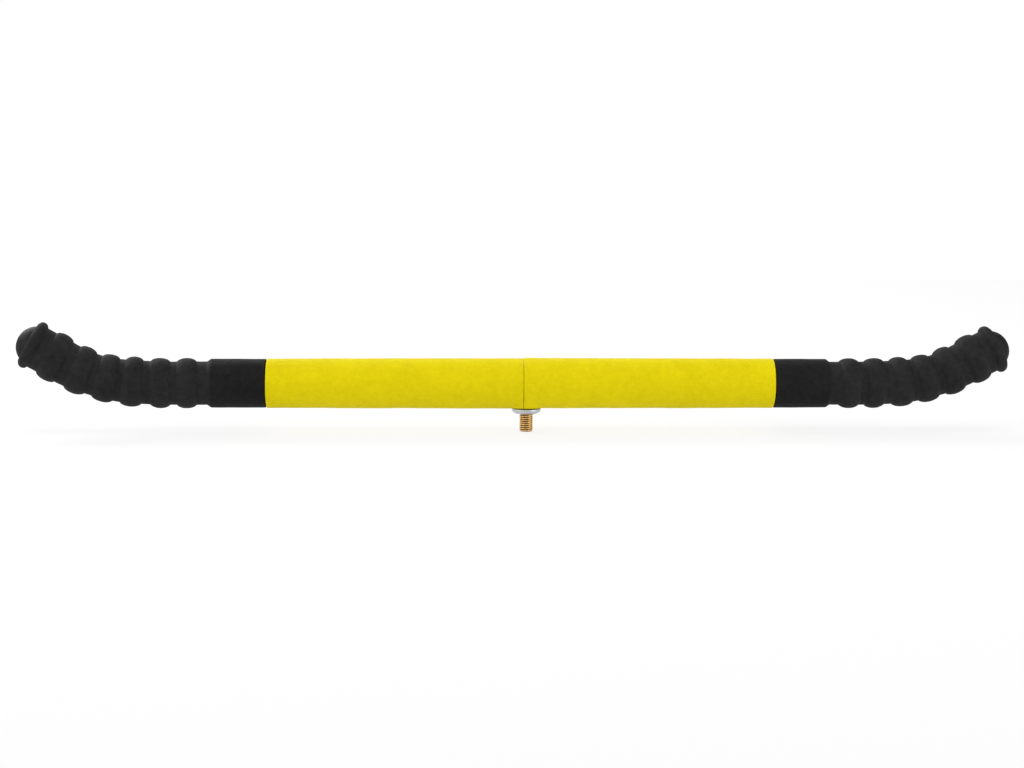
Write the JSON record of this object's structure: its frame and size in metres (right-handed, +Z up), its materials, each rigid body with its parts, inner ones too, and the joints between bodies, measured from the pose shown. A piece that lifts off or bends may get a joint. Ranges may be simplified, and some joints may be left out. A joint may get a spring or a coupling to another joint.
{
  "type": "screw-on handlebar",
  "caption": "Foam-covered T-bar handle with upturned ribbed grips, a butted middle sleeve pair and a downward threaded stud with a domed washer.",
  "frame": {"origin": "on the stud's axis, in the seat plane: the underside of the domed washer, where it meets the machine that the bar is screwed to", "axes": "+X along the bar, +Z up with the stud pointing down and the grips turned up, +Y away from the viewer of the picture; the bar's middle is 3.5 mm to -X of the stud"},
  "size_m": [0.7286, 0.0368, 0.0784],
  "materials": {
    "yellow_foam": "matte closed-cell foam, fine pores",
    "black_foam": "matte closed-cell foam, ground surface",
    "black_plastic": "satin moulded polyethylene",
    "yellow_zinc_steel": "yellow-passivated zinc plate",
    "bright_zinc_steel": "clear-passivated zinc plate",
    "tube_steel": "plain drawn steel tube"
  },
  "bodies": {
    "bar": {"core_tube": "tube_steel", "center_sleeve_left": "yellow_foam", "center_sleeve_right": "yellow_foam", "grip_left": "black_foam", "grip_right": "black_foam", "end_cap_left": "black_plastic", "end_cap_right": "black_plastic", "carriage_bolt": "yellow_zinc_steel", "jam_nut": "bright_zinc_steel", "saddle_washer": "bright_zinc_steel", "spacer_tube": "tube_steel"},
    "loose_washer": {"domed_washer": "bright_zinc_steel"}
  },
  "joints": [
    {"name": "washer_slide", "type": "slide", "parent": "bar", "child": "loose_washer", "axis": [0, 0, -1], "range_m": [0, 0.0126]}
  ]
}
